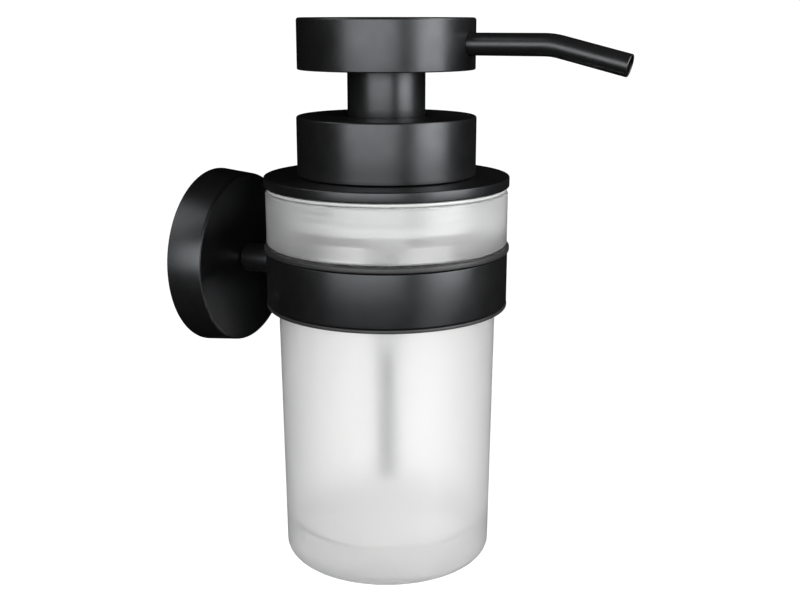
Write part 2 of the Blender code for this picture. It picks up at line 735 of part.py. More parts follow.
def main():
    clear_scene()
    material("cutter", (0.8, 0.2, 0.2), 0.5)
    make_rosette_cover()
    make_wall_bracket()
    make_grub_screw()
    make_arm_rod()
    make_arm_rear_screw()
    make_arm_front_screw()
    make_ring_band()
    make_upper_bush()
    make_lower_bush()
    tumbler = make_glass_tumbler()
    lid = [make_lid_plug(), make_lid_flange(), make_lid_nut(), make_collar_insert(), make_collar_shell()]
    lid += [make_housing_gasket(), make_pump_housing(), make_housing_cap()]
    lid += [make_dip_tube(), make_return_spring()]
    inlet = make_ball("inlet_ball", BALL_R, BALL_Z)
    outlet = make_ball("outlet_ball", OUTLET_BALL_R, OUTLET_BALL_Z)
    plunger = [make_piston_seal(), make_piston_stem()]
    head = [make_stem_sleeve(), make_head_base(), make_head_shell()]
    head += [make_actuator_core(), make_spout_tube()]
    make_joint_empty("tumbler_lift_axis", RING_TOP_Z, [tumbler])
    make_joint_empty("lid_lift_axis", LID_TOP_Z, lid)
    make_joint_empty("pump_press_axis", STEM_TOP_Z, plunger)
    make_joint_empty("head_swivel_axis", SPOUT_Z, head)
    make_joint_empty("inlet_valve_axis", BALL_Z, [inlet])
    make_joint_empty("outlet_valve_axis", OUTLET_BALL_Z, [outlet])


main()
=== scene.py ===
"""Looks of the wall mounted soap dispenser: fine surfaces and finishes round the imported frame.

Everything is in metres in the CAD's own frame: the wall is y = 0, the dispenser reaches towards -Y, +Z is up.
Outer sizes come from the CAD nodes' boxes. Walls, lips and rounding are named here in millimetres (MM).
"""

import math

import bmesh
import bpy
from mathutils import Matrix, Vector

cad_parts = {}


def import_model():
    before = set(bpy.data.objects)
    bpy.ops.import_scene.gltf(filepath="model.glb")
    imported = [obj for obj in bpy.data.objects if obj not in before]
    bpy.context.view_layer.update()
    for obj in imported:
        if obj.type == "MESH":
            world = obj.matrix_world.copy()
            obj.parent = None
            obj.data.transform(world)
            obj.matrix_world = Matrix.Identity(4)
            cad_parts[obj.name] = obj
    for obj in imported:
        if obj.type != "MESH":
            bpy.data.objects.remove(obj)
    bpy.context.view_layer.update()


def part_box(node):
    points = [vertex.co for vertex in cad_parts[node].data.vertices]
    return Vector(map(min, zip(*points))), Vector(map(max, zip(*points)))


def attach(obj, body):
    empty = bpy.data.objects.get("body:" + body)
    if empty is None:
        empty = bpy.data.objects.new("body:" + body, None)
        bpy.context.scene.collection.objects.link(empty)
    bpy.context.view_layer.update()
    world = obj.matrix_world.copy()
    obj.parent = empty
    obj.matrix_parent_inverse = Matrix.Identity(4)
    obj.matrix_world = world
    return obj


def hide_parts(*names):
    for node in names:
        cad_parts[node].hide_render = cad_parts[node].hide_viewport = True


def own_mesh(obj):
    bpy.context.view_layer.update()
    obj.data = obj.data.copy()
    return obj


MM = 0.001
GAP = 0.3 * MM
WIDE_SIDES = 144
MIDDLE_SIDES = 96
SMALL_SIDES = 48
SHARP_DEG = 35
SPOUT_R = 3.1 * MM
WALL_SCREW_SPACING = 26 * MM

# The studio. Azimuths are round the tumbler's axis: 0 looks from -Y, and -90 from -X.
CAMERA_AZIMUTH = -65.0
CAMERA_DISTANCE = 0.3216
CAMERA_HEIGHT = 0.0722
CAMERA_PITCH = 14.21
CAMERA_YAW = 0.70
LENS_MM = 49.4
FLOOR_Z = -0.75
BACKDROP = 1.05
THROUGH_GLASS = 1.08
AT_FLOOR = 0.66
AT_EYE_LEVEL = 0.56
ROOM = 0.004
LAMP_DISTANCE = 1.0
LAMP_TARGET = Vector((0, -0.06, 0))

OUT_FROM_WALL = Matrix.Rotation(math.radians(90), 4, "X")     # turns a piece's +Z to -Y


# ---------------------------------------------------------------- frame readings

def middle_of(node):
    low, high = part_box(node)
    return (low + high) / 2


def radius_of(node):
    """Half the width of a round node, which stands on its axis."""
    low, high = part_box(node)
    return (high.x - low.x) / 2


def levels_of(node):
    low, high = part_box(node)
    return low.z, high.z


# ---------------------------------------------------------------- shapes

def fillet(before, corner, after, radius, steps):
    """Points that round one corner of an outline."""
    into = Vector(before) - Vector(corner)
    out = Vector(after) - Vector(corner)
    reach_limit = 0.49 * min(into.length, out.length)
    into.normalize()
    out.normalize()
    half = into.angle(out) / 2
    if half > math.radians(89):
        return [corner]
    reach = min(radius / math.tan(half), reach_limit)
    radius = reach * math.tan(half)
    bisector = (into + out).normalized()
    centre = Vector(corner) + bisector * (radius / math.sin(half))
    start = Vector(corner) + into * reach - centre
    end = Vector(corner) + out * reach - centre
    sweep = start.angle_signed(end)
    points = []
    for i in range(steps + 1):
        turn = Matrix.Rotation(-sweep * i / steps, 2)
        points.append(tuple(centre + turn @ start))
    return points


def outline(corners, closed=True, steps=5):
    """A profile from (radius, height) or (radius, height, rounding) corners, in metres."""
    flat = [Vector(c[:2]) for c in corners]
    count = len(corners)
    points = []
    for i, corner in enumerate(corners):
        rounding = corner[2] if len(corner) > 2 else 0
        at_end = not closed and i in (0, count - 1)
        if rounding <= 0 or at_end:
            points.append(tuple(flat[i]))
            continue
        points += fillet(flat[i - 1], flat[i], flat[(i + 1) % count], rounding, steps)
    return points


def to_object(bm, name, place=None):
    """A smooth shaded object from a bmesh in metres."""
    bmesh.ops.remove_doubles(bm, verts=bm.verts, dist=2e-7)
    bmesh.ops.recalc_face_normals(bm, faces=bm.faces)
    mesh = bpy.data.meshes.new(name)
    bm.to_mesh(mesh)
    bm.free()
    mesh.shade_smooth()
    mesh.set_sharp_from_angle(angle=math.radians(SHARP_DEG))
    made = bpy.data.objects.new(name, mesh)
    bpy.context.scene.collection.objects.link(made)
    if place is not None:
        made.data.transform(place)
    return made


def turned(name, corners, sides, place, closed=True, steps=5):
    """A lathe-turned piece. An open outline starts and ends on the axis."""
    bm = bmesh.new()
    verts = [bm.verts.new((r, 0, z)) for r, z in outline(corners, closed, steps)]
    edges = [bm.edges.new(pair) for pair in zip(verts, verts[1:])]
    if closed:
        edges.append(bm.edges.new((verts[-1], verts[0])))
    bmesh.ops.spin(bm, geom=verts + edges, cent=(0, 0, 0), axis=(0, 0, 1),
                   angle=math.tau, steps=sides, use_merge=True)
    return to_object(bm, name, place)


def swept(name, route, radius, sides, side_at):
    """A solid bar along a route; side_at(point) is a sideways direction that keeps it from twisting."""
    bm = bmesh.new()
    rows = []
    for i, point in enumerate(route):
        before = route[i - 1] if i else route[0]
        after = route[min(i + 1, len(route) - 1)]
        forward = (after - before).normalized()
        side = side_at(point).normalized()
        up = side.cross(forward).normalized()
        side = forward.cross(up).normalized()
        angles = [math.tau * k / sides for k in range(sides)]
        rows.append([bm.verts.new(point + radius * (math.cos(a) * side + math.sin(a) * up))
                     for a in angles])
    for low, high in zip(rows, rows[1:]):
        for k in range(sides):
            j = (k + 1) % sides
            bm.faces.new((low[k], low[j], high[j], high[k]))
    bm.faces.new(rows[0])
    bm.faces.new(rows[-1])
    return to_object(bm, name)


def prism(name, radius, low, high, corners, place):
    """A straight many-cornered bar, used to cut sockets and to shape nuts."""
    bm = bmesh.new()
    rows = []
    for z in (low, high):
        rows.append([bm.verts.new((radius * math.cos(math.tau * k / corners),
                                   radius * math.sin(math.tau * k / corners), z))
                     for k in range(corners)])
    for k in range(corners):
        j = (k + 1) % corners
        bm.faces.new((rows[0][k], rows[0][j], rows[1][j], rows[1][k]))
    bm.faces.new(rows[0])
    bm.faces.new(rows[1])
    return to_object(bm, name, place)


def cut(piece, *tools):
    """Takes the tools' shapes out of a piece, and leaves no tool behind."""
    for tool in tools:
        change = piece.modifiers.new("cut", "BOOLEAN")
        change.operation = "DIFFERENCE"
        change.solver = "EXACT"
        change.object = tool
        bpy.context.view_layer.update()
        graph = bpy.context.evaluated_depsgraph_get()
        result = bpy.data.meshes.new_from_object(piece.evaluated_get(graph))
        piece.modifiers.clear()
        old = piece.data
        piece.data = result
        bpy.data.meshes.remove(old)
        bpy.data.objects.remove(tool)
    piece.data.shade_smooth()
    piece.data.set_sharp_from_angle(angle=math.radians(SHARP_DEG))
    return piece


def dress(piece, body, material, slot, *nodes):
    """Gives a piece its finish and body, and lets it stand for its CAD nodes. The slot is not used."""
    piece.data.materials.clear()
    piece.data.materials.append(material)
    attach(piece, body)
    if nodes:
        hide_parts(*nodes)
    return piece


# ---------------------------------------------------------------- finishes

class Finish:
    """A Principled material whose roughness and bump come from procedural nodes in object space."""

    def __init__(self, name, colour, roughness, metallic=0.0):
        self.material = bpy.data.materials.new(name)
        self.material.use_nodes = True
        self.nodes = self.material.node_tree.nodes
        self.links = self.material.node_tree.links
        self.shader = self.nodes["Principled BSDF"]
        self.shader.inputs["Base Color"].default_value = (*colour, 1)
        self.shader.inputs["Roughness"].default_value = roughness
        self.shader.inputs["Metallic"].default_value = metallic
        self.place = self.nodes.new("ShaderNodeTexCoord").outputs["Object"]

    def stretched(self, scale):
        """Object coordinates, stretched."""
        mapping = self.nodes.new("ShaderNodeMapping")
        mapping.inputs["Scale"].default_value = scale
        self.links.new(self.place, mapping.inputs["Vector"])
        return mapping.outputs["Vector"]

    def noise(self, scale, detail=3.0, vector=None):
        """A noise pattern, with scale in grains per metre."""
        node = self.nodes.new("ShaderNodeTexNoise")
        node.inputs["Scale"].default_value = scale
        node.inputs["Detail"].default_value = detail
        self.links.new(vector or self.place, node.inputs["Vector"])
        return node.outputs["Fac"]

    def spread(self, value, low, high):
        """Maps a pattern from 0.3..0.7 to low..high."""
        node = self.nodes.new("ShaderNodeMapRange")
        node.inputs["From Min"].default_value = 0.3
        node.inputs["From Max"].default_value = 0.7
        node.inputs["To Min"].default_value = low
        node.inputs["To Max"].default_value = high
        self.links.new(value, node.inputs["Value"])
        return node.outputs["Result"]

    def mix_colour(self, value, first, second):
        node = self.nodes.new("ShaderNodeMix")
        node.data_type = "RGBA"
        node.inputs["A"].default_value = (*first, 1)
        node.inputs["B"].default_value = (*second, 1)
        self.links.new(value, node.inputs["Factor"])
        self.links.new(node.outputs["Result"], self.shader.inputs["Base Color"])

    def rough(self, value):
        self.links.new(value, self.shader.inputs["Roughness"])

    def bump(self, value, strength, distance):
        node = self.nodes.new("ShaderNodeBump")
        node.inputs["Strength"].default_value = strength
        node.inputs["Distance"].default_value = distance
        self.links.new(value, node.inputs["Height"])
        self.links.new(node.outputs["Normal"], self.shader.inputs["Normal"])


def black_coating():
    """Satin black coated metal: a fine orange-peel grain and slightly uneven gloss."""
    f = Finish("black_coating", (0.005, 0.005, 0.005), 0.34)
    f.rough(f.spread(f.noise(220, 4), 0.31, 0.37))
    f.mix_colour(f.noise(900, 2), (0.004, 0.004, 0.0042), (0.006, 0.006, 0.0062))
    f.bump(f.noise(2600, 2), 0.10, 0.00004)
    f.shader.inputs["Specular Tint"].default_value = (0.925, 0.955, 1.0, 1)
    return f.material


def black_moulding():
    """Matt black moulded plastic."""
    f = Finish("black_moulding", (0.016, 0.016, 0.017), 0.5)
    f.rough(f.spread(f.noise(400, 3), 0.46, 0.56))
    f.mix_colour(f.noise(700, 2), (0.013, 0.013, 0.014), (0.020, 0.020, 0.021))
    f.bump(f.noise(3500, 1), 0.12, 0.00004)
    return f.material


def frosted():
    """Etched glass: clear, slightly green body with a fine frosted grain."""
    f = Finish("frosted_glass", (0.95, 0.97, 0.96), 0.3)
    f.shader.inputs["Transmission Weight"].default_value = 0.9
    f.shader.inputs["IOR"].default_value = 1.47
    f.rough(f.spread(f.noise(500, 3), 0.28, 0.32))
    f.mix_colour(f.noise(120, 2), (0.958, 0.96, 0.958), (0.972, 0.972, 0.970))
    f.bump(f.noise(4200, 2), 0.05, 0.00003)
    return f.material


def milky_plastic(name, colour, see_through, low=0.36, high=0.48):
    """Natural polythene or silicone: pale, soft and partly see-through, with a roughness from low to high."""
    f = Finish(name, colour, (low + high) / 2)
    f.shader.inputs["Transmission Weight"].default_value = see_through
    f.shader.inputs["IOR"].default_value = 1.45
    f.rough(f.spread(f.noise(300, 3), low, high))
    darker = tuple(0.94 * c for c in colour)
    f.mix_colour(f.noise(150, 2), darker, colour)
    f.bump(f.noise(1800, 2), 0.06, 0.00005)
    return f.material


def zinc_steel():
    """Plated steel with drawn grain and small dull patches."""
    f = Finish("zinc_steel", (0.56, 0.56, 0.57), 0.32, 1.0)
    grain = f.noise(900, 3, f.stretched((0.08, 1.0, 1.0)))
    f.rough(f.spread(grain, 0.26, 0.42))
    f.mix_colour(f.noise(60, 4), (0.50, 0.505, 0.515), (0.62, 0.62, 0.62))
    f.bump(grain, 0.08, 0.00004)
    return f.material


def bright_steel():
    """Hardened steel of screws, spring and balls."""
    f = Finish("bright_steel", (0.60, 0.60, 0.61), 0.22, 1.0)
    f.rough(f.spread(f.noise(1400, 2), 0.17, 0.28))
    f.mix_colour(f.noise(250, 2), (0.55, 0.55, 0.56), (0.64, 0.64, 0.65))
    f.bump(f.noise(2500, 2), 0.05, 0.00003)
    return f.material


def dull_rubber():
    f = Finish("gasket_rubber", (0.022, 0.022, 0.023), 0.8)
    f.rough(f.spread(f.noise(500, 3), 0.74, 0.86))
    f.mix_colour(f.noise(900, 2), (0.018, 0.018, 0.019), (0.028, 0.028, 0.028))
    f.bump(f.noise(2200, 2), 0.15, 0.00005)
    return f.material


# ---------------------------------------------------------------- wall side

def make_rosette(finish):
    """Tapered cup with a softly rounded front edge and a clearance hole for the grub screw."""
    low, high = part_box("rosette_cover")
    depth = high.y - low.y
    back = radius_of("rosette_cover")
    front = back - 1.1 * MM
    wall = 2.4 * MM
    hole = 2.5 * MM
    corners = [(back - wall, 0, 0.2 * MM), (back, 0, 0.35 * MM), (front, depth, 0.7 * MM),
               (hole, depth, 0.2 * MM), (hole, depth - wall), (front - wall, depth - wall, 0.6 * MM)]
    shell = turned("rosette_shell", corners, WIDE_SIDES, OUT_FROM_WALL, steps=6)
    grub = middle_of("rosette_grub_screw")
    tool = turned("tool", [(0, -back - 0.004), (2.3 * MM, -back - 0.004), (2.3 * MM, -back + 0.006),
                           (0, -back + 0.006)], SMALL_SIDES, Matrix.Translation((0, grub.y, 0)), False)
    dress(cut(shell, tool), "wall_holder", finish, "black_metal", "rosette_cover")


def make_bracket(finish):
    """Pressed plate with a rim and two countersunk holes."""
    low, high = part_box("wall_bracket")
    depth = high.y - low.y
    outer = radius_of("wall_bracket")
    rim, plate = 1.8 * MM, 2.5 * MM
    corners = [(0, 0), (outer, 0, 0.3 * MM), (outer, depth, 0.4 * MM), (outer - rim, depth, 0.4 * MM),
               (outer - rim, plate, 0.9 * MM), (0, plate)]
    bracket = turned("bracket_plate", corners, MIDDLE_SIDES, OUT_FROM_WALL, False)
    hole = [(0, -0.001), (2.4 * MM, -0.001), (2.4 * MM, 0.001), (4.8 * MM, 0.0034), (0, 0.0034)]
    tools = []
    for side in (-WALL_SCREW_SPACING / 2, WALL_SCREW_SPACING / 2):
        at_hole = Matrix.Translation((side, 0, 0)) @ OUT_FROM_WALL
        tools.append(turned("tool", hole, SMALL_SIDES, at_hole, False))
    dress(cut(bracket, *tools), "wall_holder", finish, "steel", "wall_bracket")


def socket_screw(name, corners, socket_r, socket_low, socket_high, place, finish, body, node):
    """A turned screw with a six-sided socket."""
    screw = turned(name, corners, SMALL_SIDES, place, False, 3)
    tool = prism("tool", socket_r, socket_low, socket_high, 6, place)
    dress(cut(screw, tool), body, finish, "steel", node)


def threaded_shank(low, high, radius, pitch, depth):
    """Outline corners of a threaded stretch, as close rings, from low to high."""
    corners = []
    turns = int((high - low) / pitch)
    for i in range(turns):
        z = low + i * pitch
        corners += [(radius - depth, z), (radius, z + 0.4 * pitch), (radius, z + 0.6 * pitch)]
    corners.append((radius - depth, low + turns * pitch))
    return corners


def make_screws(finish):
    """The grub screw in the rosette and the two screws that hold the arm."""
    low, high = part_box("rosette_grub_screw")
    centre = middle_of("rosette_grub_screw")
    down = Matrix.Translation((0, centre.y, high.z)) @ Matrix.Rotation(math.pi, 4, "X")
    length = high.z - low.z
    body = [(0, 0), (1.5 * MM, 0), *threaded_shank(0.3 * MM, length - 0.3 * MM, 2.0 * MM, 0.7 * MM, 0.3 * MM),
            (1.7 * MM, length), (0, length)]
    socket_screw("grub_screw", body, 1.15 * MM, length - 1.8 * MM, length + 1 * MM, down, finish,
                 "wall_holder", "rosette_grub_screw")

    low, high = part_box("arm_rear_screw")
    seat_y = low.y + 7.6 * MM
    place = Matrix.Translation((0, seat_y, 0)) @ Matrix.Rotation(math.radians(-90), 4, "X")
    head = high.y - seat_y
    body = [(0, low.y - seat_y), (1.7 * MM, low.y - seat_y),
            *threaded_shank(low.y - seat_y + 0.4 * MM, -0.5 * MM, 2.0 * MM, 0.8 * MM, 0.3 * MM),
            (2.0 * MM, 0), (4.4 * MM, 0, 0.2 * MM), (4.4 * MM, head * 0.6, 0.6 * MM),
            (3.6 * MM, head, 0.4 * MM), (0, head)]
    socket_screw("arm_screw_rear", body, 1.7 * MM, head - 1.4 * MM, head + 1 * MM, place, finish,
                 "wall_holder", "arm_rear_screw")

    low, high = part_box("arm_front_screw")
    place = Matrix.Translation((0, low.y, 0)) @ OUT_FROM_WALL
    length = high.y - low.y
    body = [(0, -length), (1.2 * MM, -length),
            *threaded_shank(0.3 * MM - length, -1.5 * MM, 1.5 * MM, 0.6 * MM, 0.25 * MM),
            (1.5 * MM, -1.3 * MM), (2.75 * MM, 0, 0.1 * MM), (0, 0)]
    socket_screw("arm_screw_front", body, 1.2 * MM, -0.8 * MM, 1 * MM, place, finish,
                 "wall_holder", "arm_front_screw")


def make_arm(finish, axis, band_r):
    """Round arm, whose outer end is hollowed to sit against the ring band."""
    low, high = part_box("arm_rod")
    radius = radius_of("arm_rod")
    start, end = -high.y, -low.y + 3 * MM
    corners = [(0, start), (radius, start, 0.25 * MM), (radius, end), (0, end)]
    arm = turned("arm", corners, MIDDLE_SIDES, OUT_FROM_WALL, False)
    seat = [(0, -0.012), (band_r + GAP, -0.012), (band_r + GAP, 0.012), (0, 0.012)]
    rear = [(0, 0.006), (2.4 * MM, 0.006), (2.4 * MM, start + 6.3 * MM), (0, start + 6.3 * MM)]
    front = -axis.y - band_r
    fore = [(0, front - 5 * MM), (1.8 * MM, front - 5 * MM), (1.8 * MM, front + 6 * MM), (0, front + 6 * MM)]
    tools = [turned("tool", seat, 360, Matrix.Translation(axis), False),
             turned("tool", rear, SMALL_SIDES, OUT_FROM_WALL, False),
             turned("tool", fore, SMALL_SIDES, OUT_FROM_WALL, False)]
    dress(cut(arm, *tools), "wall_holder", finish, "black_metal", "arm_rod")


def make_ring(metal, plastic, axis):
    """The band and its two flanged bushes."""
    place = Matrix.Translation(axis)
    outer = radius_of("ring_band")
    bore = outer - 1.5 * MM
    low, high = levels_of("ring_band")
    corners = [(bore, low, 0.15 * MM), (outer, low, 0.3 * MM), (outer, high, 0.3 * MM),
               (bore, high, 0.15 * MM)]
    band = turned("ring_band_fine", corners, WIDE_SIDES, place)
    inside = -axis.y - bore
    hole = [(0, inside - 3 * MM), (1.8 * MM, inside - 3 * MM), (1.8 * MM, inside - 1.5 * MM),
            (5.5 * MM, inside + 2.2 * MM), (0, inside + 2.2 * MM)]
    cut(band, turned("tool", hole, SMALL_SIDES, OUT_FROM_WALL, False))
    dress(band, "wall_holder", metal, "black_metal", "ring_band")

    sleeve = bore - GAP
    inner = bore - 1.25 * MM
    low, high = levels_of("ring_upper_bush")
    lip = radius_of("ring_upper_bush")
    under = high - 1.6 * MM
    corners = [(inner, low, 0.2 * MM), (sleeve, low, 0.2 * MM), (sleeve, under), (lip, under, 0.35 * MM),
               (lip, high, 0.6 * MM), (inner, high, 0.4 * MM)]
    dress(turned("ring_bush_upper", corners, WIDE_SIDES, place), "wall_holder", plastic, "black_plastic",
          "ring_upper_bush")
    low, high = levels_of("ring_lower_bush")
    lip = radius_of("ring_lower_bush")
    over = low + 1.0 * MM
    corners = [(inner, low, 0.3 * MM), (lip, low, 0.35 * MM), (lip, over, 0.25 * MM), (sleeve, over),
               (sleeve, high, 0.2 * MM), (inner, high, 0.2 * MM)]
    dress(turned("ring_bush_lower", corners, WIDE_SIDES, place), "wall_holder", plastic, "black_plastic",
          "ring_lower_bush")


# ---------------------------------------------------------------- tumbler

def make_tumbler(finish, axis):
    """Thick based frosted tumbler: shallow foot, slightly tapered wall and a wider collar above the ring."""
    low, high = levels_of("glass_tumbler")
    outer = radius_of("glass_tumbler")
    seat = levels_of("ring_upper_bush")[1] + GAP
    waist, foot = outer - 2.95 * MM, outer - 4.0 * MM
    mouth = outer - 3.4 * MM
    floor = low + 8.5 * MM
    corners = [(0, low + 0.8 * MM), (23.4 * MM, low + 0.8 * MM, 1.5 * MM), (25.6 * MM, low, 1.0 * MM),
               (foot, low, 4.2 * MM), (waist, seat, 0.25 * MM), (outer, seat, 0.9 * MM),
               (outer, high, 0.6 * MM),
               (mouth, high, 0.6 * MM), (mouth, seat + 4.4 * MM, 2.5 * MM),
               (waist - 3.2 * MM, seat - 0.2 * MM, 3.5 * MM), (foot - 3.2 * MM, floor, 5.2 * MM), (0, floor)]
    glass = turned("tumbler_glass", corners, WIDE_SIDES, Matrix.Translation(axis), False, 8)
    dress(glass, "tumbler", finish, "frosted_glass", "glass_tumbler")


# ---------------------------------------------------------------- lid

def make_lid(metal, plastic, milky, plug, rubber, axis):
    """Lid disc, ribbed plug, nut, collar drum with its inner holder, and the pump's gasket."""
    place = Matrix.Translation(axis)
    hole = 7.95 * MM
    low, high = levels_of("lid_flange")
    outer = radius_of("lid_flange")
    corners = [(hole, low), (outer, low, 0.35 * MM), (outer, high, 0.4 * MM), (hole, high)]
    dress(turned("lid_disc", corners, WIDE_SIDES, place), "pump_lid", metal, "black_metal", "lid_flange")

    low, high = levels_of("lid_plug")
    brim = radius_of("lid_plug")
    core = 29.7 * MM
    rib = 31.9 * MM
    web = high - 2.6 * MM
    corners = [(hole, high), (hole, web), (core - 2 * MM, web, 1.0 * MM), (core - 2 * MM, low, 0.4 * MM),
               (core - 0.5 * MM, low, 0.4 * MM)]
    for k in (2, 1, 0):
        centre = web - 2.15 * MM * k
        corners += [(core, centre - 0.65 * MM, 0.2 * MM), (rib, centre - 0.15 * MM, 0.3 * MM),
                    (rib, centre + 0.15 * MM, 0.3 * MM), (core, centre + 0.65 * MM, 0.2 * MM)]
    corners += [(core, high - 0.85 * MM, 0.2 * MM), (brim, high - 0.85 * MM, 0.25 * MM),
                (brim, high, 0.25 * MM)]
    dress(turned("plug_ribbed", corners, WIDE_SIDES, place, steps=3), "pump_lid", plug, "white_plastic",
          "lid_plug")

    low, high = levels_of("lid_nut")
    bore = 7.75 * MM
    corners = [(bore, low, 0.3 * MM), (10.5 * MM, low, 0.4 * MM), (12.5 * MM, high - 1.5 * MM, 0.5 * MM),
               (14.2 * MM, high - 1.5 * MM, 0.3 * MM), (14.2 * MM, high, 0.3 * MM), (bore, high)]
    nut = turned("nut_under_lid", corners, MIDDLE_SIDES, place, steps=3)
    dress(nut, "pump_lid", milky, "white_plastic", "lid_nut")

    low, high = levels_of("collar_shell")
    outer = radius_of("collar_shell")
    neck_hole = radius_of("stem_sleeve") + 0.33 * MM
    wall = 1.3 * MM
    corners = [(outer - wall, low, 0.2 * MM), (outer, low, 0.25 * MM), (outer, high, 0.55 * MM),
               (neck_hole, high, 0.3 * MM), (neck_hole, high - 1.5 * MM, 0.2 * MM),
               (outer - wall, high - 1.5 * MM, 0.5 * MM)]
    dress(turned("collar_drum", corners, WIDE_SIDES, place, steps=6), "pump_lid", metal, "black_metal",
          "collar_shell")

    low, high = levels_of("collar_insert")
    outer = radius_of("collar_insert")
    corners = [(hole, low), (outer, low, 0.3 * MM), (outer, high, 0.3 * MM),
               (outer - 1.6 * MM, high, 0.3 * MM),
               (outer - 1.6 * MM, low + 2 * MM, 0.8 * MM), (hole, low + 2 * MM)]
    dress(turned("collar_holder", corners, MIDDLE_SIDES, place, steps=3), "pump_lid", plastic,
          "black_plastic", "collar_insert")

    low, high = levels_of("housing_gasket")
    outer = radius_of("housing_gasket")
    corners = [(hole, low, 0.25 * MM), (outer, low, 0.3 * MM), (outer, high, 0.3 * MM),
               (hole, high, 0.25 * MM)]
    dress(turned("gasket_ring", corners, MIDDLE_SIDES, place, steps=3), "pump_lid", rubber, "gasket_rubber",
          "housing_gasket")


# ---------------------------------------------------------------- pump

def make_housing(milky, axis):
    """The pump's cylinder: flange, threaded barrel, lower end with the valve seat, and the tube's tail."""
    place = Matrix.Translation(axis)
    low, high = levels_of("pump_housing")
    flange = radius_of("pump_housing")
    barrel, bore = 7.6 * MM, 6.2 * MM
    tail = 4.25 * MM
    ledge = levels_of("return_spring")[0] - GAP
    neck_z = high - 1.5 * MM
    thread_top = levels_of("lid_nut")[1]
    corners = [(tail, low, 0.3 * MM), (tail, -14 * MM, 1.5 * MM), (barrel - 0.4 * MM, -9 * MM, 2.0 * MM)]
    corners += threaded_shank(thread_top - 12 * MM, thread_top, barrel, 1.5 * MM, 0.4 * MM)
    corners += [(barrel, neck_z), (flange, neck_z, 0.2 * MM), (flange, high, 0.3 * MM),
                (bore, high, 0.3 * MM),
                (bore, ledge, 0.2 * MM), (4.4 * MM, ledge, 0.3 * MM), (4.4 * MM, ledge - 1.4 * MM, 0.3 * MM),
                (2.2 * MM, ledge - 3.0 * MM, 0.15 * MM), (2.2 * MM, ledge - 3.4 * MM, 0.15 * MM),
                (3.1 * MM, ledge - 4.2 * MM, 0.3 * MM), (3.1 * MM, -10.2 * MM, 0.3 * MM),
                (1.9 * MM, -12.6 * MM, 0.3 * MM), (1.9 * MM, -14.2 * MM), (3.05 * MM, -14.2 * MM),
                (3.05 * MM, low, 0.2 * MM)]
    dress(turned("pump_cylinder", corners, MIDDLE_SIDES, place, steps=4), "pump_lid", milky, "white_plastic",
          "pump_housing")


def make_housing_cap(milky, axis):
    place = Matrix.Translation(axis)
    low, high = levels_of("housing_cap")
    outer = radius_of("housing_cap")
    seat = high - 1.5 * MM
    bore, skirt = 4.3 * MM, 5.9 * MM
    corners = [(bore, low, 0.2 * MM), (skirt, low, 0.3 * MM), (skirt, seat), (outer, seat, 0.2 * MM),
               (outer, high, 0.4 * MM), (bore, high, 0.4 * MM)]
    dress(turned("stem_guide", corners, MIDDLE_SIDES, place, steps=3), "pump_lid", milky, "white_plastic",
          "housing_cap")


def make_dip_tube(milky, axis):
    """Extruded tube, cut square at both ends."""
    low, high = levels_of("dip_tube")
    outer = radius_of("dip_tube")
    wall = 0.75 * MM
    corners = [(outer - wall, low, 0.15 * MM), (outer, low, 0.2 * MM), (outer, high, 0.2 * MM),
               (outer - wall, high, 0.15 * MM)]
    tube = turned("suction_tube", corners, SMALL_SIDES, Matrix.Translation(axis), steps=3)
    dress(tube, "pump_lid", milky, "white_plastic", "dip_tube")


def make_spring(finish, axis):
    """Round wire compression spring with closed ends."""
    low, high = levels_of("return_spring")
    wire = 0.5 * MM
    coil = 5.2 * MM
    low, high = low + wire, high - wire
    turns, per_turn = 8.5, 40
    steps = int(turns * per_turn)
    closed_turns = 0.75
    lift = 0.55 * MM
    route = []
    for i in range(steps + 1):
        turn = turns * i / steps
        climb = min(max((turn - closed_turns) / (turns - 2 * closed_turns), 0.0), 1.0)
        ends = lift * (min(turn, closed_turns) + max(turn - turns + closed_turns, 0.0)) / closed_turns
        angle = math.tau * turn
        z = low + ends + (high - low - 2 * lift) * climb
        route.append(Vector((axis.x + coil * math.cos(angle), axis.y + coil * math.sin(angle), z)))

    def outward(point):
        return Vector((point.x - axis.x, point.y - axis.y, 0))

    spring = swept("spring_coil", route, wire, 12, outward)
    dress(spring, "pump_lid", finish, "steel", "return_spring")
    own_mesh(spring)


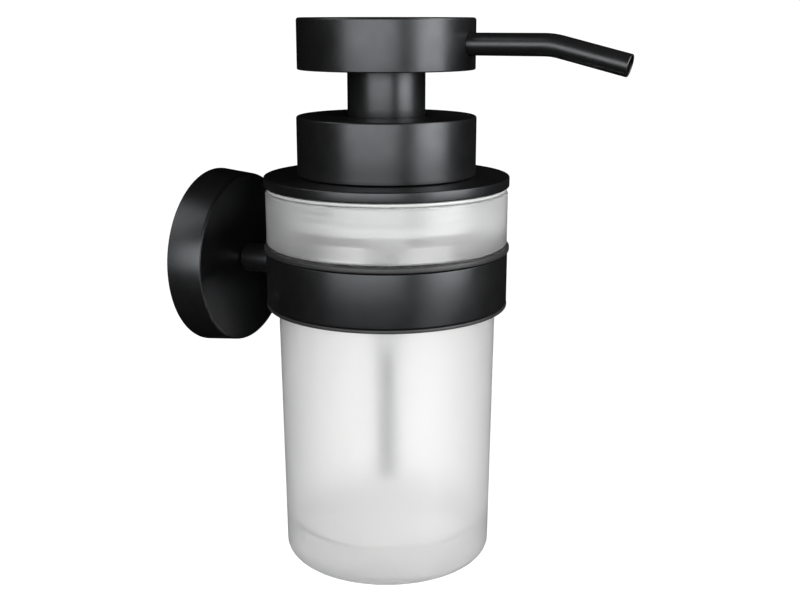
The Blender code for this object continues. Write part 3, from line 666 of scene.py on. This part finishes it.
def make_plunger(milky, axis):
    """The hollow stem and the soft seal on its waist."""
    place = Matrix.Translation(axis)
    low, high = levels_of("piston_stem")
    bore, outer = 1.6 * MM, 4.0 * MM
    waist = outer - 1.2 * MM
    seal_low, seal_high = levels_of("piston_seal")
    shoulder = seal_low + 4.3 * MM
    corners = [(bore, low, 0.2 * MM), (waist + 0.7 * MM, low, 0.4 * MM),
               (waist + 0.8 * MM, low + 1.1 * MM, 0.1 * MM),
               (waist, low + 1.3 * MM), (waist, shoulder), (outer, shoulder + 0.3 * MM, 0.1 * MM),
               (outer, high, 0.5 * MM), (bore, high, 0.1 * MM)]
    dress(turned("stem_hollow", corners, SMALL_SIDES, place, steps=3), "plunger", milky, "white_plastic",
          "piston_stem")
    edge = radius_of("piston_seal")
    inner = outer - 0.9 * MM
    corners = [(inner, seal_low + 1.2 * MM), (outer + 0.2 * MM, seal_low, 0.1 * MM),
               (edge - 0.4 * MM, seal_low, 0.2 * MM),
               (edge, seal_low + 0.5 * MM, 0.3 * MM), (edge - 0.05 * MM, seal_low + 1.2 * MM, 0.3 * MM),
               (edge - 0.55 * MM, seal_low + 2.2 * MM, 0.5 * MM),
               (edge - 0.55 * MM, seal_low + 4.4 * MM, 0.5 * MM),
               (edge - 0.02 * MM, seal_low + 5.5 * MM, 0.3 * MM), (edge - 0.02 * MM, seal_high, 0.1 * MM),
               (outer + 0.9 * MM, seal_low + 5.0 * MM, 0.3 * MM),
               (outer + 0.35 * MM, seal_low + 4.0 * MM, 0.2 * MM),
               (inner, seal_low + 4.0 * MM)]
    dress(turned("seal_cup", corners, MIDDLE_SIDES, place, steps=3), "plunger", milky, "white_plastic",
          "piston_seal")


def make_ball(name, node, body, finish):
    """A polished valve ball, from a finely divided cube so that it has no poles."""
    centre = middle_of(node)
    low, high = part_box(node)
    radius = (high.z - low.z) / 2
    bm = bmesh.new()
    bmesh.ops.create_cube(bm, size=1)
    bmesh.ops.subdivide_edges(bm, edges=bm.edges, cuts=9, use_grid_fill=True)
    for vert in bm.verts:
        vert.co = vert.co.normalized() * radius
    dress(to_object(bm, name, Matrix.Translation(centre)), body, finish, "steel", node)


# ---------------------------------------------------------------- head

def make_head(metal, plastic, axis):
    """The press cap, its underside, the inner core and the thick neck."""
    place = Matrix.Translation(axis)
    low, high = levels_of("head_shell")
    outer = radius_of("head_shell")
    spout_z = levels_of("spout_tube")[1] - SPOUT_R
    wall = 1.3 * MM
    corners = [(0, high - 1.5 * MM), (outer - wall, high - 1.5 * MM, 0.6 * MM), (outer - wall, low, 0.2 * MM),
               (outer, low, 0.35 * MM), (outer, high, 0.8 * MM), (0, high)]
    cap = turned("press_cap", corners, WIDE_SIDES, place, False, 7)
    hole = [(0, 15 * MM), (SPOUT_R + 0.2 * MM, 15 * MM), (SPOUT_R + 0.2 * MM, 40 * MM), (0, 40 * MM)]
    at_spout = Matrix.Translation((axis.x, axis.y, spout_z)) @ OUT_FROM_WALL
    cut(cap, turned("tool", hole, SMALL_SIDES, at_spout, False))
    dress(cap, "press_head", metal, "black_metal", "head_shell")

    low, high = levels_of("stem_sleeve")
    neck = radius_of("stem_sleeve")
    neck_bore = neck - 1.37 * MM
    corners = [(neck_bore, low, 0.3 * MM), (neck, low, 0.3 * MM), (neck, high, 0.3 * MM),
               (neck_bore, high, 0.3 * MM)]
    dress(turned("neck_sleeve", corners, MIDDLE_SIDES, place, steps=3), "press_head", metal, "black_metal",
          "stem_sleeve")

    base_low, base_high = levels_of("head_base")
    rim = radius_of("head_base")
    corners = [(neck + GAP, base_low, 0.2 * MM), (rim, base_low, 0.3 * MM), (rim, base_high, 0.2 * MM),
               (neck + GAP, base_high, 0.2 * MM)]
    dress(turned("cap_underside", corners, WIDE_SIDES, place, steps=3), "press_head", plastic,
          "black_plastic", "head_base")

    low, top = levels_of("actuator_core")
    flange = radius_of("actuator_core")
    stem_top = levels_of("piston_stem")[1] + GAP
    hub = neck_bore - GAP
    web = high + GAP
    socket = 4.3 * MM
    corners = [(0, 63.8 * MM), (1.2 * MM, 63.8 * MM), (1.2 * MM, 60.7 * MM), (2.6 * MM, 60.7 * MM, 0.3 * MM),
               (2.6 * MM, stem_top, 0.1 * MM), (socket, stem_top, 0.1 * MM), (socket, low, 0.3 * MM),
               (hub, low, 0.4 * MM), (hub, web), (flange, web, 0.3 * MM), (flange, web + 2 * MM, 0.3 * MM),
               (13 * MM, web + 2 * MM, 0.8 * MM), (13 * MM, top, 0.3 * MM), (0, top)]
    core = turned("cap_core", corners, MIDDLE_SIDES, place, False, 3)
    bore = [(0, -1.5 * MM), (SPOUT_R + GAP, -1.5 * MM), (SPOUT_R + GAP, 30 * MM), (0, 30 * MM)]
    cut(core, turned("tool", bore, SMALL_SIDES, at_spout, False))
    dress(core, "press_head", plastic, "black_plastic", "actuator_core")


def spout_route(axis):
    """Straight out of the head, one soft bend, then straight down to the tip."""
    z = levels_of("spout_tube")[1] - SPOUT_R
    drop = math.radians(13.9)
    bend = 20 * MM
    knee = 49.2 * MM - bend * math.tan(drop / 2)
    tip = 70.2 * MM
    points = [(4 * MM, z), (20 * MM, z), (34 * MM, z), (knee, z)]
    steps = 16
    for i in range(1, steps + 1):
        angle = drop * i / steps
        points.append((knee + bend * math.sin(angle), z - bend * (1 - math.cos(angle))))
    run = tip - points[-1][0]
    points.append((tip, points[-1][1] - run * math.tan(drop)))
    return [Vector((axis.x, axis.y - out, height)) for out, height in points]


def make_spout(metal, axis):
    """Thin walled tube with softly broken end edges."""
    route = spout_route(axis)
    bore = SPOUT_R - 0.6 * MM
    edge = 0.15 * MM
    start, end = route[0], route[-1]
    back = (route[0] - route[1]).normalized()
    ahead = (route[-1] - route[-2]).normalized()
    outer_line = [(start, SPOUT_R - edge), (start - back * edge, SPOUT_R)]
    outer_line += [(p, SPOUT_R) for p in route[1:-1]]
    outer_line += [(end - ahead * edge, SPOUT_R), (end, SPOUT_R - edge)]
    inner_line = [(end, bore + edge), (end - ahead * edge, bore)]
    inner_line += [(p, bore) for p in reversed(route[1:-1])]
    inner_line += [(start - back * edge, bore), (start, bore + edge)]
    across = Vector((1, 0, 0))
    bm = bmesh.new()
    rows = []
    angles = [math.tau * k / SMALL_SIDES for k in range(SMALL_SIDES)]
    for point, size in outer_line + inner_line:
        near = min(range(len(route)), key=lambda n: (route[n] - point).length)
        forward = (route[min(near + 1, len(route) - 1)] - route[max(near - 1, 0)]).normalized()
        up = across.cross(forward).normalized()
        rows.append([bm.verts.new(point + size * (math.cos(a) * across + math.sin(a) * up))
                     for a in angles])
    for ring, following in zip(rows, rows[1:] + rows[:1]):
        for k in range(SMALL_SIDES):
            j = (k + 1) % SMALL_SIDES
            bm.faces.new((ring[k], ring[j], following[j], following[k]))
    dress(to_object(bm, "spout"), "press_head", metal, "black_metal", "spout_tube")


# ---------------------------------------------------------------- studio

def make_floor():
    """A pale studio floor, well below the wall-held object, which only the camera sees."""
    bm = bmesh.new()
    bmesh.ops.create_grid(bm, x_segments=4, y_segments=4, size=6)
    floor = to_object(bm, "studio_floor", Matrix.Translation((0, 0, FLOOR_Z)))
    f = Finish("studio_floor_paint", (0.92, 0.92, 0.92), 0.8)
    f.rough(f.spread(f.noise(3, 2), 0.75, 0.85))
    f.shader.inputs["Emission Color"].default_value = (1, 1, 1, 1)
    f.shader.inputs["Emission Strength"].default_value = BACKDROP
    floor.data.materials.append(f.material)
    floor.visible_glossy = False
    floor.visible_diffuse = False
    floor.visible_transmission = False


def make_world():
    """A white surround behind the object and through the glass, and a dark room in reflections."""
    world = bpy.data.worlds.new("studio")
    bpy.context.scene.world = world
    world.use_nodes = True
    nodes, links = world.node_tree.nodes, world.node_tree.links
    path = nodes.new("ShaderNodeLightPath")

    def mixed(ray, first, second):
        mix = nodes.new("ShaderNodeMixShader")
        links.new(path.outputs[ray], mix.inputs["Fac"])
        links.new(first.outputs[0], mix.inputs[1])
        links.new(second.outputs[0], mix.inputs[2])
        return mix

    def white(strength):
        shade = nodes.new("ShaderNodeBackground")
        shade.inputs["Color"].default_value = (1, 1, 1, 1)
        shade.inputs["Strength"].default_value = strength
        return shade

    room = nodes["Background"]
    room.inputs["Strength"].default_value = ROOM
    through = white(1.0)
    links.new(horizon_glow(nodes, links), through.inputs["Strength"])
    seen = mixed("Is Transmission Ray", room, through)
    seen = mixed("Is Camera Ray", seen, white(BACKDROP))
    links.new(seen.outputs[0], nodes["World Output"].inputs["Surface"])


def horizon_glow(nodes, links):
    """How bright the surround looks through the glass: brightest below eye level, dimmer above and below."""
    place = nodes.new("ShaderNodeTexCoord")
    split = nodes.new("ShaderNodeSeparateXYZ")
    links.new(place.outputs["Generated"], split.inputs[0])
    lower_of = nodes.new("ShaderNodeMath")
    lower_of.operation = "MINIMUM"
    # Each side: from a direction's upward part and its brightness, to another's.
    sides = ((-0.62, AT_FLOOR, -0.42, THROUGH_GLASS), (-0.30, THROUGH_GLASS, -0.12, AT_EYE_LEVEL))
    for slot, (start, first, end, second) in enumerate(sides):
        side = nodes.new("ShaderNodeMapRange")
        side.interpolation_type = "SMOOTHSTEP"
        side.inputs["From Min"].default_value = start
        side.inputs["From Max"].default_value = end
        side.inputs["To Min"].default_value = first
        side.inputs["To Max"].default_value = second
        links.new(split.outputs["Z"], side.inputs["Value"])
        links.new(side.outputs["Result"], lower_of.inputs[slot])
    return lower_of.outputs[0]


def softbox(name, azimuth, elevation, wide_deg, tall_deg, radiance):
    """A rectangular lamp a metre off, that spans two angles as seen from the object.

    Azimuth is counted from the camera's side of the object, to the right. Radiance is in W/(m2 sr).
    """
    lamp = bpy.data.lights.new(name, "AREA")
    lamp.shape = "RECTANGLE"
    lamp.size = 2 * LAMP_DISTANCE * math.tan(math.radians(wide_deg / 2))
    lamp.size_y = 2 * LAMP_DISTANCE * math.tan(math.radians(tall_deg / 2))
    lamp.energy = math.pi * radiance * lamp.size * lamp.size_y
    made = bpy.data.objects.new(name, lamp)
    bpy.context.scene.collection.objects.link(made)
    a, e = math.radians(CAMERA_AZIMUTH + azimuth), math.radians(elevation)
    towards = Vector((math.sin(a) * math.cos(e), -math.cos(a) * math.cos(e), math.sin(e)))
    made.location = LAMP_TARGET + LAMP_DISTANCE * towards
    made.rotation_mode = "QUATERNION"
    made.rotation_quaternion = (-towards).to_track_quat("-Z", "Y")
    made.visible_camera = False
    return made


def make_lights():
    """A wide box on the left of the camera, a tall one on the right, and weak fills."""
    softbox("softbox_left", -19, 7.5, 68, 30, 5.6)
    softbox("softbox_left_high", -75, 40, 30, 35, 2.5)
    softbox("softbox_right", 57, 7.5, 40, 30, 8.2)
    softbox("softbox_right_high", 75, 40, 30, 35, 7.0)
    softbox("softbox_right_low", 45, -22.5, 30, 30, 1.0)


def make_camera(axis):
    """At the viewing angle of the product shot: left of the spout, a little above the lid."""
    data = bpy.data.cameras.new("camera")
    data.sensor_width = 36
    data.lens = LENS_MM
    data.clip_start, data.clip_end = 0.01, 50
    made = bpy.data.objects.new("camera", data)
    bpy.context.scene.collection.objects.link(made)
    a = math.radians(CAMERA_AZIMUTH)
    made.location = (axis.x + CAMERA_DISTANCE * math.sin(a), axis.y - CAMERA_DISTANCE * math.cos(a),
                     CAMERA_HEIGHT)
    made.rotation_euler = (math.radians(90 - CAMERA_PITCH), 0, math.radians(CAMERA_AZIMUTH - CAMERA_YAW))
    bpy.context.scene.camera = made


# ---------------------------------------------------------------- everything

def main():
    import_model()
    centre = middle_of("glass_tumbler")
    axis = Vector((centre.x, centre.y, 0))

    metal = black_coating()
    plastic = black_moulding()
    glass = frosted()
    milky = milky_plastic("milky_plastic", (0.80, 0.82, 0.81), 0.35)
    plug = milky_plastic("plug_plastic", (0.66, 0.67, 0.67), 0.25, 0.14, 0.20)
    # Painted shade: the suction tube gets a dark grey so that the dark band it makes through the glass is
    # deep; a pale tube would show a lighter band.
    tube = milky_plastic("tube_plastic_painted_shade", (0.22, 0.22, 0.23), 0.15)
    steel = bright_steel()
    make_rosette(metal)
    make_bracket(zinc_steel())
    make_screws(steel)
    make_arm(metal, axis, radius_of("ring_band"))
    make_ring(metal, plastic, axis)
    make_tumbler(glass, axis)
    make_lid(metal, plastic, milky, plug, dull_rubber(), axis)
    make_housing(milky, axis)
    make_housing_cap(milky, axis)
    make_dip_tube(tube, axis)
    make_spring(steel, axis)
    make_plunger(milky, axis)
    make_ball("ball_inlet", "inlet_ball", "inlet_valve", steel)
    make_ball("ball_outlet", "outlet_ball", "outlet_valve", steel)
    make_head(metal, plastic, axis)
    make_spout(metal, axis)

    make_floor()
    make_world()
    make_lights()
    make_camera(axis)
    bpy.context.scene.view_settings.view_transform = "Standard"


main()
